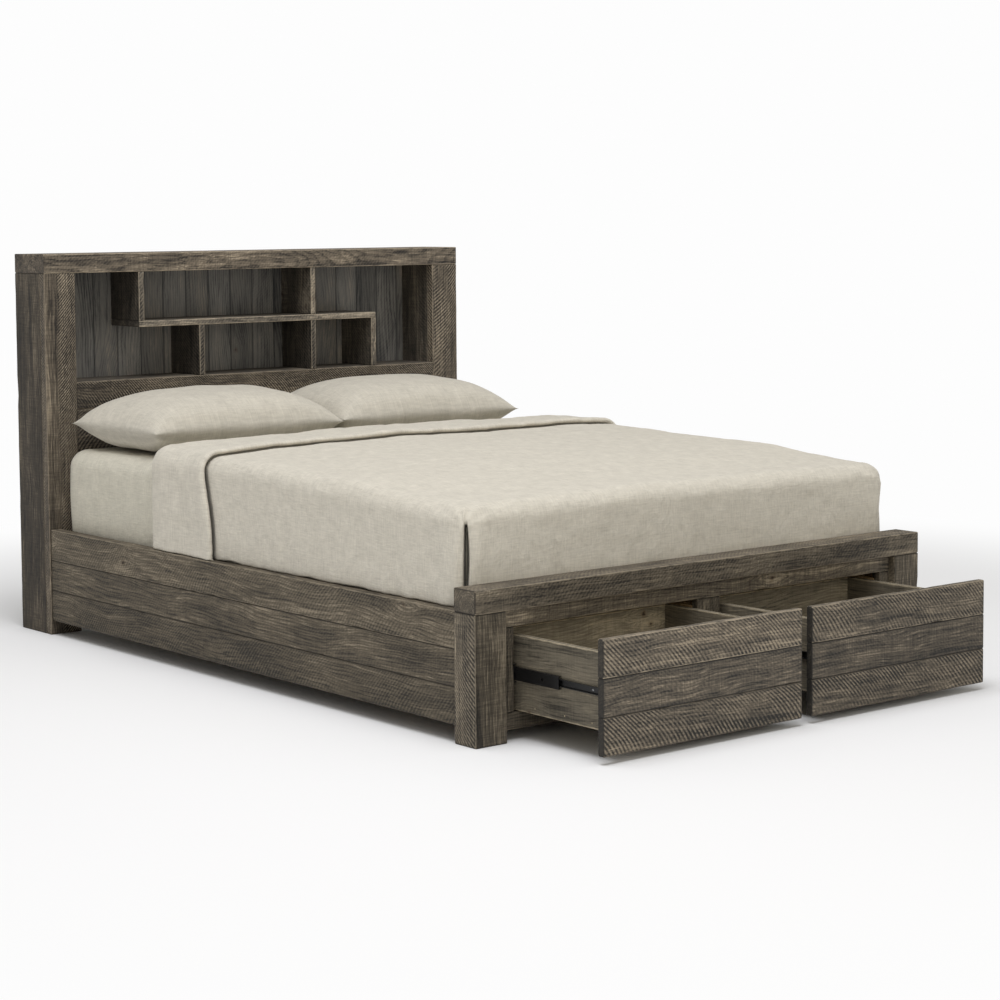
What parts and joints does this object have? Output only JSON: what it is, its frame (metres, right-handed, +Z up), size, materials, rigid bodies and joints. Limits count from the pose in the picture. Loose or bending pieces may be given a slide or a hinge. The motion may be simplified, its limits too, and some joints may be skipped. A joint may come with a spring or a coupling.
{
  "type": "platform bed with storage drawers",
  "caption": "Queen platform bed with a bookcase headboard, panelled side rails, footboard drawers on ball-bearing slides, slatted base, mattress, duvet and pillows.",
  "frame": {"origin": "on the floor under the middle of the whole bed, with the drawers drawn out as modelled", "axes": "+Z up, +Y towards the headboard, the drawers open towards -Y, +X to the right for someone who looks from the foot end"},
  "size_m": [1.632, 2.664, 1.195],
  "materials": {
    "fitted_sheet": "matt woven linen",
    "duvet_linen": "washed linen, soft creases",
    "pillow_linen": "washed linen, seamed edge",
    "black_slide_steel": "black zinc, slightly oiled",
    "zinc_screws": "bright zinc",
    "bracket_steel": "black powder coat",
    "bolt_steel": "zinc plated",
    "glide_plastic": "moulded",
    "charcoal_planks": "dark charcoal stain, tongue and groove",
    "cubby_boards": "grey-brown stain, fine saw marks",
    "sawn_drawer_front": "rough sawn, grey-brown stain",
    "drawer_box_wood": "olive-brown stain",
    "base_pine": "plain pine",
    "rail_boards": "grey-brown stain, knots",
    "footboard_wood": "rough sawn, grey-brown stain",
    "headboard_wood": "rough sawn, grey-brown stain"
  },
  "bodies": {
    "root": {"bay_back_rail": "base_pine", "bay_panels": "base_pine", "cabinet_slide_screws": "zinc_screws", "centre_beam": "base_pine", "centre_legs": "base_pine", "cubby_divider_left_hanging": "cubby_boards", "cubby_divider_left_standing": "cubby_boards", "cubby_divider_middle": "cubby_boards", "cubby_divider_right": "cubby_boards", "cubby_floor": "cubby_boards", "cubby_shelf": "cubby_boards", "duvet": "duvet_linen", "foot_cap": "footboard_wood", "foot_post_left": "footboard_wood", "foot_post_right": "footboard_wood", "frame_bottom_rail": "footboard_wood", "frame_stile_left": "footboard_wood", "frame_stile_middle": "footboard_wood", "frame_stile_right": "footboard_wood", "frame_top_rail": "footboard_wood", "headboard_back_planks": "charcoal_planks", "headboard_cap": "headboard_wood", "headboard_inner_walls": "cubby_boards", "headboard_panel_boards": "headboard_wood", "headboard_rail": "headboard_wood", "headboard_side_left": "headboard_wood", "headboard_side_right": "headboard_wood", "headboard_stile_left": "headboard_wood", "headboard_stile_right": "headboard_wood", "leg_glides": "glide_plastic", "mattress": "fitted_sheet", "pillow_left": "pillow_linen", "pillow_right": "pillow_linen", "rail_bolts": "bolt_steel", "rail_brackets": "bracket_steel", "side_rail_left": "rail_boards", "side_rail_right": "rail_boards", "slat_ledgers": "base_pine", "slats": "base_pine", "slide_cabinet_members": "black_slide_steel"},
    "drawer_left": {"drawer_left_back": "drawer_box_wood", "drawer_left_base": "drawer_box_wood", "drawer_left_box_front": "drawer_box_wood", "drawer_left_front": "sawn_drawer_front", "drawer_left_runner_screws": "zinc_screws", "drawer_left_runners": "black_slide_steel", "drawer_left_sides": "drawer_box_wood"},
    "slide_middle_left": {"slide_middle_members_left": "black_slide_steel"},
    "outer_balls_left": {"slide_outer_balls_left": "black_slide_steel"},
    "inner_balls_left": {"slide_inner_balls_left": "black_slide_steel"},
    "drawer_right": {"drawer_right_back": "drawer_box_wood", "drawer_right_base": "drawer_box_wood", "drawer_right_box_front": "drawer_box_wood", "drawer_right_front": "sawn_drawer_front", "drawer_right_runner_screws": "zinc_screws", "drawer_right_runners": "black_slide_steel", "drawer_right_sides": "drawer_box_wood"},
    "slide_middle_right": {"slide_middle_members_right": "black_slide_steel"},
    "outer_balls_right": {"slide_outer_balls_right": "black_slide_steel"},
    "inner_balls_right": {"slide_inner_balls_right": "black_slide_steel"}
  },
  "joints": [
    {"name": "drawer_left_slide", "type": "slide", "parent": "root", "child": "drawer_left", "axis": [0, -1, 0], "range_m": [-0.338, 0.112]},
    {"name": "slide_middle_left_slide", "type": "slide", "parent": "root", "child": "slide_middle_left", "axis": [0, -1, 0], "range_m": [-0.169, 0.056]},
    {"name": "outer_balls_left_slide", "type": "slide", "parent": "root", "child": "outer_balls_left", "axis": [0, -1, 0], "range_m": [-0.0845, 0.028]},
    {"name": "inner_balls_left_slide", "type": "slide", "parent": "root", "child": "inner_balls_left", "axis": [0, -1, 0], "range_m": [-0.2535, 0.084]},
    {"name": "drawer_right_slide", "type": "slide", "parent": "root", "child": "drawer_right", "axis": [0, -1, 0], "range_m": [-0.338, 0.112]},
    {"name": "slide_middle_right_slide", "type": "slide", "parent": "root", "child": "slide_middle_right", "axis": [0, -1, 0], "range_m": [-0.169, 0.056]},
    {"name": "outer_balls_right_slide", "type": "slide", "parent": "root", "child": "outer_balls_right", "axis": [0, -1, 0], "range_m": [-0.0845, 0.028]},
    {"name": "inner_balls_right_slide", "type": "slide", "parent": "root", "child": "inner_balls_right", "axis": [0, -1, 0], "range_m": [-0.2535, 0.084]}
  ],
  "couplings": [
    {"joint": "slide_middle_left_slide", "follows": "drawer_left_slide", "ratio": 0.5},
    {"joint": "outer_balls_left_slide", "follows": "drawer_left_slide", "ratio": 0.25},
    {"joint": "inner_balls_left_slide", "follows": "drawer_left_slide", "ratio": 0.75},
    {"joint": "slide_middle_right_slide", "follows": "drawer_right_slide", "ratio": 0.5},
    {"joint": "outer_balls_right_slide", "follows": "drawer_right_slide", "ratio": 0.25},
    {"joint": "inner_balls_right_slide", "follows": "drawer_right_slide", "ratio": 0.75}
  ]
}
